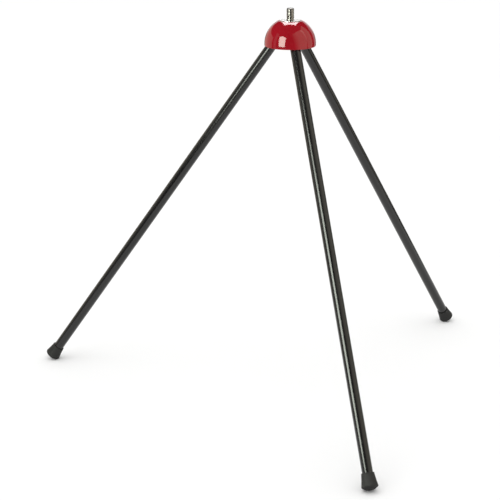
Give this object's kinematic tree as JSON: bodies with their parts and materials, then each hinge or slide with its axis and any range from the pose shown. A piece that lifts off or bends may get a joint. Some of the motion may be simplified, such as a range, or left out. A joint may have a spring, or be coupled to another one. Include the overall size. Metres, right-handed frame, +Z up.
{
  "type": "tripod hunting stand",
  "caption": "Folding field stand: a domed steel head with a threaded mounting stud on three hinged tubular legs with flared rubber feet.",
  "frame": {"origin": "point on the floor under the stud's axis, with the three feet standing on the floor", "axes": "+Z up along the stud, front leg towards -Y, right leg towards +X and +Y, left leg towards -X and +Y"},
  "size_m": [0.592, 0.5156, 0.4944],
  "materials": {
    "dome_paint": "gloss enamel, light orange peel",
    "plated_steel": "bright zinc or nickel plate, turned",
    "hub_casting": "satin black over a casting",
    "dark_fastener": "black oxide",
    "leg_coating": "semi-gloss black coating",
    "plug_plastic": "moulded, fine grain",
    "washer_plastic": "natural nylon",
    "foot_rubber": "matt moulded rubber"
  },
  "bodies": {
    "head": {"dome_shell": "dome_paint", "seat_disc": "plated_steel", "mounting_stud": "plated_steel", "leg_hub": "hub_casting", "spring_washer": "plated_steel", "hub_nut": "plated_steel", "pivot_bolt_front": "dark_fastener", "pivot_bolt_right": "dark_fastener", "pivot_bolt_left": "dark_fastener", "pivot_nut_front": "dark_fastener", "pivot_nut_right": "dark_fastener", "pivot_nut_left": "dark_fastener"},
    "leg_front": {"leg_tube_front": "leg_coating", "hinge_plug_front": "plug_plastic", "thrust_washers_front": "washer_plastic", "plug_pin_front": "plated_steel", "foot_washer_front": "plated_steel", "rubber_foot_front": "foot_rubber"},
    "leg_right": {"leg_tube_right": "leg_coating", "hinge_plug_right": "plug_plastic", "thrust_washers_right": "washer_plastic", "plug_pin_right": "plated_steel", "foot_washer_right": "plated_steel", "rubber_foot_right": "foot_rubber"},
    "leg_left": {"leg_tube_left": "leg_coating", "hinge_plug_left": "plug_plastic", "thrust_washers_left": "washer_plastic", "plug_pin_left": "plated_steel", "foot_washer_left": "plated_steel", "rubber_foot_left": "foot_rubber"}
  },
  "joints": [
    {"name": "fold_front", "type": "hinge", "parent": "head", "child": "leg_front", "pos_m": [0, -0.013, 0.46181], "axis": [1, 0, 0], "range_deg": [0, 35]},
    {"name": "fold_right", "type": "hinge", "parent": "head", "child": "leg_right", "pos_m": [0.01126, 0.0065, 0.46181], "axis": [-0.5, 0.866, 0], "range_deg": [0, 35]},
    {"name": "fold_left", "type": "hinge", "parent": "head", "child": "leg_left", "pos_m": [-0.01126, 0.0065, 0.46181], "axis": [-0.5, -0.866, 0], "range_deg": [0, 35]}
  ]
}
